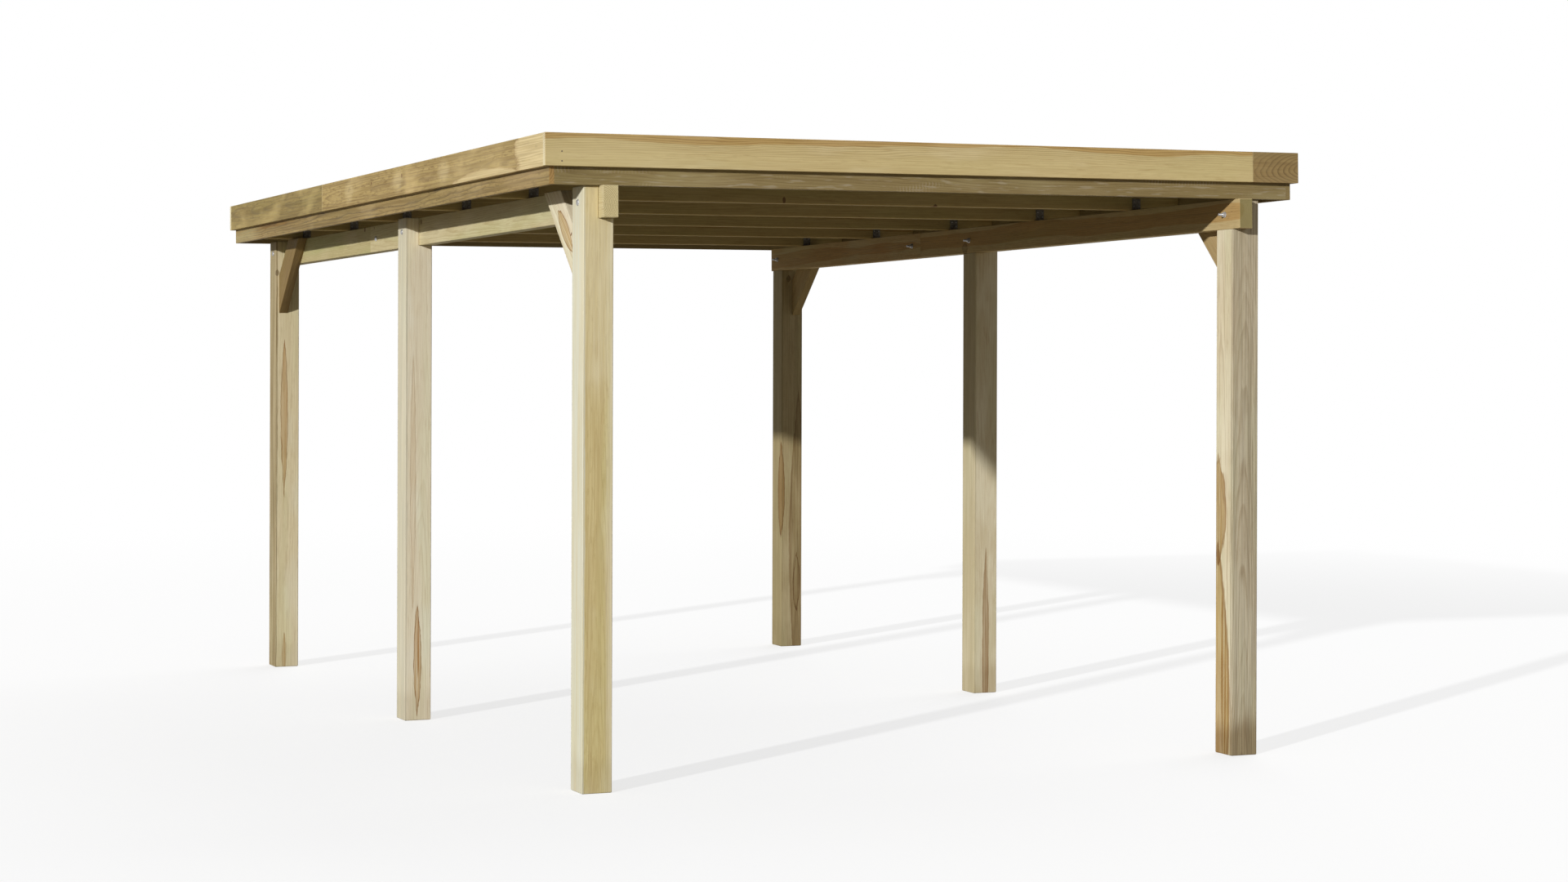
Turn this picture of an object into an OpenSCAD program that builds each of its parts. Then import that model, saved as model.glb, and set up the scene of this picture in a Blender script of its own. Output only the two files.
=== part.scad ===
// Open timber carport: six notched posts carry two spliced side beams,
// and a flat roof edged with boards lies on them and falls to the rear.
// Millimetres. The front faces -Y, the width runs along X and the floor is Z = 0.

/* [Posts] */
// Side of the square posts
post = 120; // [90:1:160]
// Width over the outer faces of the posts
posts_width = 2920; // [2400:10:4000]
// Distance from one post to the next along a side
post_pitch = 2210; // [1500:10:2600]

/* [Roof shape] */
// Height of the beam tops at the front face of the front posts
seat_height = 2250; // [1900:10:2800]
// Fall of the roof to the rear in degrees
roof_fall = 1.3; // [0:0.1:4]
// Roof edge beyond the outer faces of the posts at each side
side_overhang = 165; // [100:5:400]
// Roof edge ahead of the front posts
front_overhang = 40; // [30:1:200]
// Roof edge behind the rear posts
rear_overhang = 175; // [60:1:400]

/* [Beams] */
// Beam thickness, also the depth of the notch in each post
beam_thickness = 60; // [40:1:80]
// Beam height
beam_height = 120; // [80:1:180]
// Beam end ahead of the front posts
beam_front_end = 48; // [10:1:120]
// Beam end behind the rear posts
beam_rear_end = 25; // [10:1:55]
// Clear distance from the middle post back to the beam splice
splice_offset = 450; // [50:5:800]
// Length of the halved splice
splice_lap = 180; // [80:5:300]

/* [Knee braces] */
// Face width of a brace
brace_width = 134; // [90:1:170]
// Thickness of a brace
brace_thickness = 45; // [20:1:60]
// Foot of a brace below the underside of the beam
brace_drop = 243; // [180:5:450]

/* [Rafters] */
// Rafter thickness
rafter_thickness = 45; // [30:1:70]
// Rafter height
rafter_height = 95; // [70:1:140]
// Clear bay between the last rafter and the rear rim board
last_bay = 455; // [200:5:700]

/* [Edge boards] */
// Thickness of the rim boards
rim_thickness = 20; // [15:1:30]
// Height of the rim boards
rim_height = 120; // [90:1:180]
// Thickness of the fascia boards
fascia_thickness = 24; // [15:1:30]
// Height of the fascia boards
fascia_height = 123; // [90:1:200]
// Lower edge of the fascia boards above the beam tops
fascia_lift = 67; // [30:1:85]
// Length of the short end piece of the front and rear fascia
fascia_end_piece = 215; // [100:5:900]
// Length of the front piece of a side fascia
fascia_side_piece = 2995; // [1500:5:3400]

/* [Roof sheets] */
// Sheet thickness
sheet_thickness = 3; // [2:0.5:5]
// Height of the ribs
rib_height = 18; // [10:1:35]
// Width across the top of a rib
rib_top = 26; // [15:1:40]
// Run of each rib flank
rib_flank = 14; // [8:1:25]
// Gap between the sheets and the rim boards beside and ahead of them
sheet_gap = 4; // [2:1:10]
// Drip gap between the sheets and the rear rim board
drip_gap = 40; // [15:5:100]

/* [Rafter brackets] */
// Length of each leg of an angle bracket
bracket_leg = 50; // [30:1:70]
// Width of an angle bracket
bracket_width = 40; // [20:1:40]
// Plate thickness of an angle bracket
bracket_plate = 3; // [2:0.5:5]

/* [Hidden] */

left = -1;
right = 1;
cut = 1;
rafter_count = 5;
sheet_count = 3;
ribs_per_sheet = 6;

// Half widths of the posts, the beams and the layers of the roof edge
post_out = posts_width / 2;
beam_out = post_out - (post - beam_thickness);
beam_in = beam_out - beam_thickness;
roof_half = post_out + side_overhang;
rim_out = roof_half - fascia_thickness;
rim_in = rim_out - rim_thickness;

// Distances along the sloping roof from the front face of the front posts
posts_depth = 2 * post_pitch + post;
roof_front = -front_overhang;
roof_rear = posts_depth + rear_overhang;
rim_front_at = roof_front + fascia_thickness;
rim_rear_at = roof_rear - fascia_thickness;
bay_front = rim_front_at + rim_thickness;
bay_rear = rim_rear_at - rim_thickness;
beam_start = -beam_front_end;
beam_end = posts_depth + beam_rear_end;
splice_front = post_pitch + post + splice_offset;
splice_rear = splice_front + splice_lap;
clear_bay = (bay_rear - bay_front - last_bay - rafter_count * rafter_thickness) / rafter_count;
fascia_top = fascia_lift + fascia_height;

// The front face of the front posts, set so that the whole is centred on Y = 0
y_low = min(beam_start * cos(roof_fall) - beam_height * sin(roof_fall),
            roof_front * cos(roof_fall) + fascia_lift * sin(roof_fall));
y_high = roof_rear * cos(roof_fall) + fascia_top * sin(roof_fall);
front_y = -(y_low + y_high) / 2;

// Roof sheet profile
sheet_half = rim_in - sheet_gap;
rib_pitch = 2 * sheet_half / (sheet_count * ribs_per_sheet);

function post_y(row) = front_y + row * post_pitch;
function rafter_at(i) = bay_front + i * clear_bay + (i - 1) * rafter_thickness;
function rib_x(i) = -sheet_half + i * rib_pitch;

// Carries a shape from the roof plane, Z = 0 at the beam tops, to its slope
module sloped() {
    translate([0, front_y, seat_height]) rotate([-roof_fall, 0, 0]) children();
}

// A board in the roof plane between two corners
module board(low, high) {
    sloped() translate(low) cube(high - low);
}

// The same board at the right side, or mirrored to the left side
module side_board(side, low, high) {
    board([side > 0 ? low[0] : -high[0], low[1], low[2]],
          [side > 0 ? high[0] : -low[0], high[1], high[2]]);
}

module post_body(side, row) {
    difference() {
        translate([side > 0 ? post_out - post : -post_out, post_y(row), 0])
            cube([post, post, seat_height + post]);
        board([-roof_half, beam_start - post, 0], [roof_half, beam_end + post, seat_height]);
        side_board(side, [beam_in - cut, beam_start - post, -beam_height], [beam_out, beam_end + post, cut]);
    }
}

module beam_body(side, outline) {
    color("BurlyWood") sloped() translate([0, 0, -beam_height]) linear_extrude(beam_height)
        polygon([for (p = outline) [side * p[0], p[1]]]);
}

module beam_front_body(side) {
    beam_mid = (beam_in + beam_out) / 2;
    beam_body(side, [[beam_in, beam_start], [beam_out, beam_start], [beam_out, splice_rear],
                     [beam_mid, splice_rear], [beam_mid, splice_front], [beam_in, splice_front]]);
}

module beam_rear_body(side) {
    beam_mid = (beam_in + beam_out) / 2;
    beam_body(side, [[beam_in, splice_front], [beam_mid, splice_front], [beam_mid, splice_rear],
                     [beam_out, splice_rear], [beam_out, beam_end], [beam_in, beam_end]]);
}

// A brace leaning away from the post face at face_y, against the outer face of the beam
module brace_body(side, face_y, lean) {
    under_beam = seat_height - beam_height - (face_y - front_y) * tan(roof_fall);
    foot = under_beam - brace_drop;
    shoulder = foot + brace_width * sqrt(2);
    rise = brace_drop + 2 * beam_height;
    color("Wheat") difference() {
        translate([side > 0 ? beam_out : -beam_out - brace_thickness, face_y, 0])
            rotate([90, 0, 90]) linear_extrude(brace_thickness)
                polygon([[0, foot], [lean * rise, foot + rise], [lean * rise, shoulder + rise], [0, shoulder]]);
        board([-roof_half, beam_start - post, 0], [roof_half, beam_end + post, seat_height]);
    }
}

module rafter_body(i) {
    color("Tan") board([-rim_in, rafter_at(i), 0], [rim_in, rafter_at(i) + rafter_thickness, rafter_height]);
}

module rim_across(at) {
    color("Tan") board([-rim_in, at, 0], [rim_in, at + rim_thickness, rim_height]);
}

module rim_along(side) {
    color("Tan") side_board(side, [rim_in, rim_front_at, 0], [rim_out, rim_rear_at, rim_height]);
}

module fascia_across(from_x, to_x, at) {
    color("BurlyWood") board([from_x, at, fascia_lift], [to_x, at + fascia_thickness, fascia_top]);
}

module fascia_along(side, from_y, to_y) {
    color("BurlyWood") side_board(side, [rim_out, from_y, fascia_lift], [roof_half, to_y, fascia_top]);
}

// Underside of one rib, left to right, from pan level to pan level
function rib_line(i) = [
    [rib_x(i) - rib_top / 2 - rib_flank, 0],
    [rib_x(i) - rib_top / 2, rib_height],
    [rib_x(i) + rib_top / 2, rib_height],
    [rib_x(i) + rib_top / 2 + rib_flank, 0]];

// Half rib at the left edge of the roof
function left_edge(i) = [
    [rib_x(i), rib_height],
    [rib_x(i) + rib_top / 2, rib_height],
    [rib_x(i) + rib_top / 2 + rib_flank, 0]];

// Half rib at the right edge of the roof
function right_edge(i) = [
    [rib_x(i) - rib_top / 2 - rib_flank, 0],
    [rib_x(i) - rib_top / 2, rib_height],
    [rib_x(i), rib_height]];

// Rib that runs under the next sheet and stops half way down its far flank
function lap_under(i) = [
    [rib_x(i) - rib_top / 2 - rib_flank, 0],
    [rib_x(i) - rib_top / 2, rib_height],
    [rib_x(i) + rib_top / 2, rib_height],
    [rib_x(i) + rib_top / 2 + rib_flank / 2, rib_height / 2]];

// Rib laid on top of the last rib of the sheet before it
function lap_over(i) = [
    [rib_x(i) - rib_top / 2, rib_height + sheet_thickness],
    [rib_x(i) + rib_top / 2, rib_height + sheet_thickness],
    [rib_x(i) + rib_top / 2 + rib_flank * (1 + sheet_thickness / rib_height), 0]];

module sheet_body(k) {
    first = k * ribs_per_sheet;
    last = first + ribs_per_sheet;
    line = concat(k == 0 ? left_edge(first) : lap_over(first),
                  [for (i = [first + 1:last - 1], p = rib_line(i)) p],
                  k == sheet_count - 1 ? right_edge(last) : lap_under(last));
    outline = concat(line, [for (i = [len(line) - 1:-1:0]) line[i] + [0, sheet_thickness]]);
    color("SlateGray") sloped() translate([0, bay_rear - drip_gap, rafter_height]) rotate([90, 0, 0])
        linear_extrude(bay_rear - drip_gap - bay_front - sheet_gap) polygon(outline);
}

module bracket_row(side) {
    mid = side * (beam_in + beam_out) / 2;
    for (i = [1:rafter_count])
        color("Silver") sloped() translate([mid - bracket_width / 2, rafter_at(i), 0])
            rotate([90, 0, 90]) linear_extrude(bracket_width)
                polygon([[0, 0], [0, bracket_leg], [-bracket_plate, bracket_leg],
                         [-bracket_plate, bracket_plate], [-bracket_leg, bracket_plate], [-bracket_leg, 0]]);
}

module post_front_left() { color("Wheat") post_body(left, 0); }
module post_front_right() { color("Wheat") post_body(right, 0); }
module post_middle_left() { color("Wheat") post_body(left, 1); }
module post_middle_right() { color("Wheat") post_body(right, 1); }
module post_rear_left() { color("Wheat") post_body(left, 2); }
module post_rear_right() { color("Wheat") post_body(right, 2); }
module beam_left_front() { beam_front_body(left); }
module beam_left_rear() { beam_rear_body(left); }
module beam_right_front() { beam_front_body(right); }
module beam_right_rear() { beam_rear_body(right); }
module brace_front_left() { brace_body(left, post_y(0) + post, 1); }
module brace_front_right() { brace_body(right, post_y(0) + post, 1); }
module brace_rear_left() { brace_body(left, post_y(2), -1); }
module brace_rear_right() { brace_body(right, post_y(2), -1); }
module rafter_1() { rafter_body(1); }
module rafter_2() { rafter_body(2); }
module rafter_3() { rafter_body(3); }
module rafter_4() { rafter_body(4); }
module rafter_5() { rafter_body(5); }
module rim_front() { rim_across(rim_front_at); }
module rim_rear() { rim_across(bay_rear); }
module rim_left() { rim_along(left); }
module rim_right() { rim_along(right); }
module fascia_front_long() { fascia_across(-roof_half, roof_half - fascia_end_piece, roof_front); }
module fascia_front_short() { fascia_across(roof_half - fascia_end_piece, roof_half, roof_front); }
module fascia_rear_long() { fascia_across(-roof_half, roof_half - fascia_end_piece, rim_rear_at); }
module fascia_rear_short() { fascia_across(roof_half - fascia_end_piece, roof_half, rim_rear_at); }
module fascia_left_front() { fascia_along(left, rim_front_at, rim_front_at + fascia_side_piece); }
module fascia_left_rear() { fascia_along(left, rim_front_at + fascia_side_piece, rim_rear_at); }
module fascia_right_front() { fascia_along(right, rim_front_at, rim_front_at + fascia_side_piece); }
module fascia_right_rear() { fascia_along(right, rim_front_at + fascia_side_piece, rim_rear_at); }
module roof_sheet_left() { sheet_body(0); }
module roof_sheet_middle() { sheet_body(1); }
module roof_sheet_right() { sheet_body(2); }
module brackets_left() { bracket_row(left); }
module brackets_right() { bracket_row(right); }

post_front_left();
post_front_right();
post_middle_left();
post_middle_right();
post_rear_left();
post_rear_right();
beam_left_front();
beam_left_rear();
beam_right_front();
beam_right_rear();
brace_front_left();
brace_front_right();
brace_rear_left();
brace_rear_right();
rafter_1();
rafter_2();
rafter_3();
rafter_4();
rafter_5();
rim_front();
rim_rear();
rim_left();
rim_right();
fascia_front_long();
fascia_front_short();
fascia_rear_long();
fascia_rear_short();
fascia_left_front();
fascia_left_rear();
fascia_right_front();
fascia_right_rear();
roof_sheet_left();
roof_sheet_middle();
roof_sheet_right();
brackets_left();
brackets_right();
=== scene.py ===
"""Looks of the timber carport: pressure-treated pine, steel fasteners and a ribbed steel roof.

Metres, in the frame's axes: the front faces -Y, the width runs along X and the floor is Z = 0.
"""

import math
import random
from collections import namedtuple

import bpy
from mathutils import Matrix, Vector


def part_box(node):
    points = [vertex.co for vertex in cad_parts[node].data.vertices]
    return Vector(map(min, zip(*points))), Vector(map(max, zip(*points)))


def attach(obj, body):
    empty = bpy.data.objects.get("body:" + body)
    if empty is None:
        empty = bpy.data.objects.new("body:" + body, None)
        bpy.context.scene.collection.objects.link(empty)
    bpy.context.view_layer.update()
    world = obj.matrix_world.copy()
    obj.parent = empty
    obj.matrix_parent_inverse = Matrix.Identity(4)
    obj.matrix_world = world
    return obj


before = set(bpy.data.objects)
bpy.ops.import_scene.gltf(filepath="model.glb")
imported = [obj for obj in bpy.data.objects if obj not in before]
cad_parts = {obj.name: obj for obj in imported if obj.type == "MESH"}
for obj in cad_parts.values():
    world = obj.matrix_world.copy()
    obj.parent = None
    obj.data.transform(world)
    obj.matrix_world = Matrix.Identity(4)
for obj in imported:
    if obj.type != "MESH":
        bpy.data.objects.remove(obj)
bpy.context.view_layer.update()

BODY = "root"

# The roof plane, read from the frame: X across, Y down the slope, Z = 0 at the beam tops
POST_LOW, POST_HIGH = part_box("post_front_left")
FIRST_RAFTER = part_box("rafter_1")[0]
LAST_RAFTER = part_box("rafter_5")[0]
ROOF_FALL = math.atan2(FIRST_RAFTER.z - LAST_RAFTER.z, LAST_RAFTER.y - FIRST_RAFTER.y)
ROOF = Matrix.Translation((0, POST_LOW.y, POST_HIGH.z)) @ Matrix.Rotation(-ROOF_FALL, 4, "X")
ACROSS = Vector((1, 0, 0))
UP = Vector((0, 0, 1))
DOWN_SLOPE = ROOF.to_3x3() @ Vector((0, 1, 0))
ROOF_NORMAL = ROOF.to_3x3() @ UP

# Camera, from the photograph's perspective
CAMERA_PLACE = (-5.374, -12.785, 1.740)
CAMERA_YAW = math.radians(21.96)
CAMERA_PITCH = math.radians(-0.076)
CAMERA_ROLL = math.radians(0.172)
CAMERA_LENS = 69.374
CAMERA_SENSOR = 36.0
CAMERA_SHIFT = (0.08, -0.0723)
CAMERA_REACH = 200.0

# Light: a low key from the front left as in the photograph, and a broad fill from the rear right
AMBIENT = 0.31
KEY_STRENGTH = 3.2
KEY_FROM = (-0.83, -0.56, 0.285)
KEY_ANGLE = math.radians(1.2)
FILL_STRENGTH = 1.5
FILL_FROM = (0.7, 0.6, 0.5)
FILL_ANGLE = math.radians(60)

# Floor: its colour as seen, its colour as it lights the carport, the lift that whitens it,
# and the distances between which it runs out to white
FLOOR_HALF = 60.0
FLOOR_SEEN = (0.34, 0.34, 0.34, 1)
FLOOR_BOUNCE = (0.25, 0.21, 0.145, 1)
FLOOR_LIFT = 0.70
FLOOR_FADE = (5.5, 13.0)


class Graph:
    """Short calls that add and link nodes in one shader tree."""

    def __init__(self, tree):
        self.tree = tree

    def feed(self, socket, value):
        if isinstance(value, bpy.types.NodeSocket):
            self.tree.links.new(value, socket)
        else:
            socket.default_value = value

    def add(self, kind, inputs=None, **settings):
        node = self.tree.nodes.new(kind)
        for name, value in settings.items():
            setattr(node, name, value)
        for key, value in (inputs or {}).items():
            self.feed(node.inputs[key], value)
        return node

    def math(self, operation, *values):
        node = self.add("ShaderNodeMath", operation=operation)
        for socket, value in zip(node.inputs, values):
            self.feed(socket, value)
        return node.outputs[0]

    def vector(self, operation, *values):
        node = self.add("ShaderNodeVectorMath", operation=operation)
        for socket, value in zip(node.inputs, values):
            self.feed(socket, value)
        scalar = operation in ("LENGTH", "DOT_PRODUCT")
        return node.outputs["Value" if scalar else "Vector"]

    def scaled(self, vector, factor):
        node = self.add("ShaderNodeVectorMath", {0: vector, "Scale": factor}, operation="SCALE")
        return node.outputs["Vector"]

    def split(self, vector):
        return self.add("ShaderNodeSeparateXYZ", {"Vector": vector}).outputs

    def across_length(self, vector):
        """Length of a vector without its part along X."""
        return self.vector("LENGTH", self.vector("MULTIPLY", vector, (0, 1, 1)))

    def noise(self, vector, stretch, detail=2.0, roughness=0.5, output="Fac"):
        place = self.vector("MULTIPLY", vector, stretch)
        node = self.add("ShaderNodeTexNoise", {"Vector": place, "Scale": 1.0,
                                               "Detail": detail, "Roughness": roughness})
        return node.outputs[output]

    def drift(self, vector, stretch, reach, detail=2.0):
        """A noise vector of up to about half the reach either way."""
        noise = self.noise(vector, stretch, detail, output="Color")
        return self.scaled(self.vector("SUBTRACT", noise, (0.5, 0.5, 0.5)), reach)

    def fade(self, value, low, high, start=0.0, end=1.0):
        node = self.add("ShaderNodeMapRange", {"Value": value, "From Min": low, "From Max": high,
                                               "To Min": start, "To Max": end},
                        interpolation_type="SMOOTHSTEP")
        return node.outputs["Result"]

    def mix(self, factor, first, second, blend="MIX"):
        """Two colours mixed, through the colour sockets of the node."""
        node = self.add("ShaderNodeMix", data_type="RGBA", blend_type=blend, clamp_factor=True)
        for index, entry in ((0, factor), (6, first), (7, second)):
            self.feed(node.inputs[index], entry)
        return node.outputs[2]

    def tinted(self, factor, colour, tint):
        return self.mix(factor, colour, tint, "MULTIPLY")

    def ramp(self, value, stops):
        node = self.add("ShaderNodeValToRGB", {"Fac": value})
        band = node.color_ramp.elements
        while len(band) < len(stops):
            band.new(0.5)
        for element, (place, level) in zip(band, stops):
            element.position = place
            element.color = (level, level, level, 1)
        return node.outputs["Color"]


def new_material(name):
    """A material with its graph and its main shader."""
    material = bpy.data.materials.new(name)
    material.use_nodes = True
    return material, Graph(material.node_tree), material.node_tree.nodes["Principled BSDF"]


# Timber, built up as solid wood so that faces, edges and ends of a board agree.
# Board axes: X along the grain, Y across the face, Z through the thickness.
# STRETCH is a noise's frequency along each axis. FADE is the pair of values between which an effect
# comes in, and where four are given, the last two are its strength at each.

RING_STOPS = ((0.0, 0.0), (0.50, 0.12), (0.84, 1.0), (0.93, 0.80), (1.0, 0.0))
RING_PATCH_FADE = (0.3, 0.7, 0.45, 1.0)
RING_REACH_FADE = (0.13, 0.05, 0.15, 1.0)
RING_RELIEF = 0.5
WANDER_STRETCH = (0.7, 3.0, 3.0)
WANDER = 0.05
RIPPLE_STRETCH = (3.0, 14.0, 14.0)
UNEVEN_STRETCH = (4.0, 26.0, 26.0)
KNOT_SPACING = 0.45
KNOT_SPREAD = 0.155
KNOT_SIZE = (0.007, 0.022)
KNOT_FAR = 100.0
KNOT_BEND_FADE = (4.0, 0.6, 0.0, 2.2)
KNOT_RIM_FADE = (1.25, 1.0, 0.0, 0.8)
KNOT_FADE = (1.0, 0.8, 0.0, 0.9)
FIBRE_STRETCH = (5.0, 300.0, 300.0)
FIBRE_FADE = (0.62, 0.34, 0.0, 0.5)
BAND_STRETCH = (0.7, 42.0, 42.0)
BAND_FADE = (0.42, 0.68)
MOTTLE_STRETCH = (20.0, 80.0, 80.0)
MOTTLE_FADE = (0.46, 0.70)
DASH_STRETCH = (8.0, 170.0, 170.0)
DASH_FADE = (0.64, 0.72, 0.0, 0.3)
CLOUD_STRETCH = (2.4, 7.0, 7.0)
CLOUD_FADE = (0.46, 0.66)
GREEN_STRETCH = (1.1, 9.0, 9.0)
GREEN_FADE = (0.44, 0.66)
HEART_STRETCH = (1.6, 12.0, 12.0)
HEART_WAVE = 0.05
HEART_FADE = (-0.002, 0.003)
SCUFF_STRETCH = (11.0, 90.0, 90.0)
SCUFF_FADE = (0.56, 0.70)
TICK_PITCH = 0.014
TICK_FADE = (0.2 * TICK_PITCH, 0.45 * TICK_PITCH)
TICK_PATCH_STRETCH = (3.0, 14.0, 14.0)
TICK_PATCH_FADE = (0.58, 0.72)
KNOT_COLOUR = (0.21, 0.11, 0.04, 1)
KNOT_RIM = (0.10, 0.055, 0.025, 1)
SCUFF_COLOUR = (0.60, 0.53, 0.42, 1)
GREEN_TINT = (0.86, 1.0, 0.84, 1)
HEART_TINT = (0.82, 0.69, 0.53, 1)
DASH_TINT = (0.62, 0.48, 0.36, 1)
FIBRE_TINT = (0.82, 0.77, 0.70, 1)

# Entries of a look that set the timber group's inputs, by their kind
LOOK_OFFSETS = ("pith", "lean")
LOOK_COLOURS = ("early", "late", "pale")
LOOK_NUMBERS = ("ring", "ripple", "heart", "contrast", "cloud", "green", "knots", "scuff", "band")


def add_timber_sockets(tree):
    """Inputs of the timber group: place on the board, seed and look; outputs: colour and height."""
    kinds = {"Board": "Vector", "Seed": "Vector"}
    kinds.update({key.capitalize(): "Vector" for key in LOOK_OFFSETS})
    kinds.update({key.capitalize(): "Color" for key in LOOK_COLOURS})
    kinds.update({key.capitalize(): "Float" for key in LOOK_NUMBERS})
    for name, kind in kinds.items():
        tree.interface.new_socket(name=name, in_out="INPUT", socket_type="NodeSocket" + kind)
    tree.interface.new_socket(name="Color", in_out="OUTPUT", socket_type="NodeSocketColor")
    tree.interface.new_socket(name="Height", in_out="OUTPUT", socket_type="NodeSocketFloat")


def timber_group():
    """Solid pine with growth rings, heartwood, knots and the marks of treatment and sawing."""
    tree = bpy.data.node_groups.new("timber", "ShaderNodeTree")
    add_timber_sockets(tree)
    graph = Graph(tree)
    given = graph.add("NodeGroupInput").outputs
    place = graph.vector("ADD", given["Board"], given["Seed"])
    radius, knot = growth(graph, given, place)
    rings = ring_lines(graph, given, place, radius, knot)
    latewood = graph.math("MULTIPLY", rings, given["Contrast"])
    colour = graph.mix(latewood, given["Early"], given["Late"])
    colour = weathering(graph, given, place, colour)
    colour = heartwood(graph, given, place, radius, colour)
    colour = graph.mix(graph.fade(knot, *KNOT_RIM_FADE), colour, KNOT_RIM)
    colour = graph.mix(graph.fade(knot, *KNOT_FADE), colour, KNOT_COLOUR)
    fibre = graph.noise(place, FIBRE_STRETCH, detail=3.0)
    colour = graph.tinted(graph.fade(fibre, *FIBRE_FADE), colour, FIBRE_TINT)
    colour = scuffs(graph, given, place, colour)
    height = graph.math("MULTIPLY_ADD", rings, RING_RELIEF, fibre)
    graph.add("NodeGroupOutput", {"Color": colour, "Height": height})
    return tree


def growth(graph, given, place):
    """Distance from the wandering pith, and distance from the nearest branch in branch radii."""
    wander = graph.drift(place, WANDER_STRETCH, WANDER, detail=1.0)
    offset = graph.vector("ADD", wander, graph.drift(place, RIPPLE_STRETCH, given["Ripple"]))
    along = graph.split(given["Board"])["X"]
    pith = graph.vector("ADD", given["Pith"], graph.scaled(given["Lean"], along))
    centred = graph.vector("ADD", graph.vector("SUBTRACT", given["Board"], pith), offset)
    return graph.across_length(centred), branch_distance(graph, given, place, centred)


def branch_distance(graph, given, place, centred):
    """Distance from the nearest branch in its radii, on a sheet unrolled round the pith."""
    part = graph.split(centred)
    angle = graph.math("ARCTAN2", part["Z"], part["Y"])
    sheet = graph.add("ShaderNodeCombineXYZ", {
        "X": graph.math("DIVIDE", graph.split(place)["X"], KNOT_SPACING),
        "Y": graph.math("MULTIPLY", angle, KNOT_SPREAD)}).outputs[0]
    cells = graph.add("ShaderNodeTexVoronoi", {"Vector": sheet, "Scale": 1.0},
                      voronoi_dimensions="2D").outputs
    chance = graph.add("ShaderNodeSeparateColor", {"Color": cells["Color"]}).outputs
    size = graph.math("MULTIPLY_ADD", chance["Red"], KNOT_SIZE[1] - KNOT_SIZE[0], KNOT_SIZE[0])
    missing = graph.math("GREATER_THAN", chance["Green"], given["Knots"])
    return graph.math("MULTIPLY_ADD", missing, KNOT_FAR, graph.math("DIVIDE", cells["Distance"], size))


def ring_lines(graph, given, place, radius, knot):
    """Latewood lines of the growth rings, bent round the branches and fainter far from the pith."""
    turns = graph.math("ADD", graph.math("DIVIDE", radius, given["Ring"]),
                       graph.fade(knot, *KNOT_BEND_FADE))
    turns = graph.math("ADD", turns, graph.noise(place, UNEVEN_STRETCH, detail=1.0))
    lines = graph.ramp(graph.math("FRACT", turns), RING_STOPS)
    strength = graph.fade(graph.noise(place, CLOUD_STRETCH), *RING_PATCH_FADE)
    near = graph.fade(radius, *RING_REACH_FADE)
    return graph.math("MULTIPLY", graph.math("MULTIPLY", lines, strength), near)


def heartwood(graph, given, place, radius, colour):
    """Browner wood near the pith, with a crisp wavy border."""
    wave = graph.math("SUBTRACT", graph.noise(place, HEART_STRETCH, detail=3.0), 0.5)
    border = graph.math("MULTIPLY_ADD", wave, HEART_WAVE, radius)
    inside = graph.fade(graph.math("SUBTRACT", given["Heart"], border), *HEART_FADE)
    return graph.tinted(inside, colour, HEART_TINT)


def weathering(graph, given, place, colour):
    """Bands along the grain, mottle, pale clouds, the green of the treatment and resin dashes."""
    band = graph.fade(graph.noise(place, BAND_STRETCH, detail=4.0, roughness=0.65), *BAND_FADE)
    mottle = graph.fade(graph.noise(place, MOTTLE_STRETCH, detail=3.0, roughness=0.6), *MOTTLE_FADE)
    dark = graph.math("MULTIPLY", graph.math("MAXIMUM", band, mottle), given["Band"])
    colour = graph.mix(dark, colour, given["Late"])
    cloud = graph.fade(graph.noise(place, CLOUD_STRETCH, detail=3.0), *CLOUD_FADE)
    colour = graph.mix(graph.math("MULTIPLY", cloud, given["Cloud"]), colour, given["Pale"])
    green = graph.fade(graph.noise(place, GREEN_STRETCH), *GREEN_FADE)
    colour = graph.tinted(graph.math("MULTIPLY", green, given["Green"]), colour, GREEN_TINT)
    dash = graph.fade(graph.noise(place, DASH_STRETCH, detail=1.0), *DASH_FADE)
    return graph.tinted(dash, colour, DASH_TINT)


def scuffs(graph, given, place, colour):
    """Whitish streaks along the grain, and saw ticks across it in patches."""
    rub = graph.noise(place, SCUFF_STRETCH)
    along = graph.math("MULTIPLY_ADD", rub, TICK_PITCH, graph.split(place)["X"])
    tick = graph.fade(graph.math("PINGPONG", along, TICK_PITCH / 2), *TICK_FADE)
    sawn = graph.fade(graph.noise(place, TICK_PATCH_STRETCH), *TICK_PATCH_FADE)
    worn = graph.math("MAXIMUM", graph.fade(rub, *SCUFF_FADE), graph.math("MULTIPLY", tick, sawn))
    return graph.mix(graph.math("MULTIPLY", worn, given["Scuff"]), colour, SCUFF_COLOUR)


TIMBER = timber_group()

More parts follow.
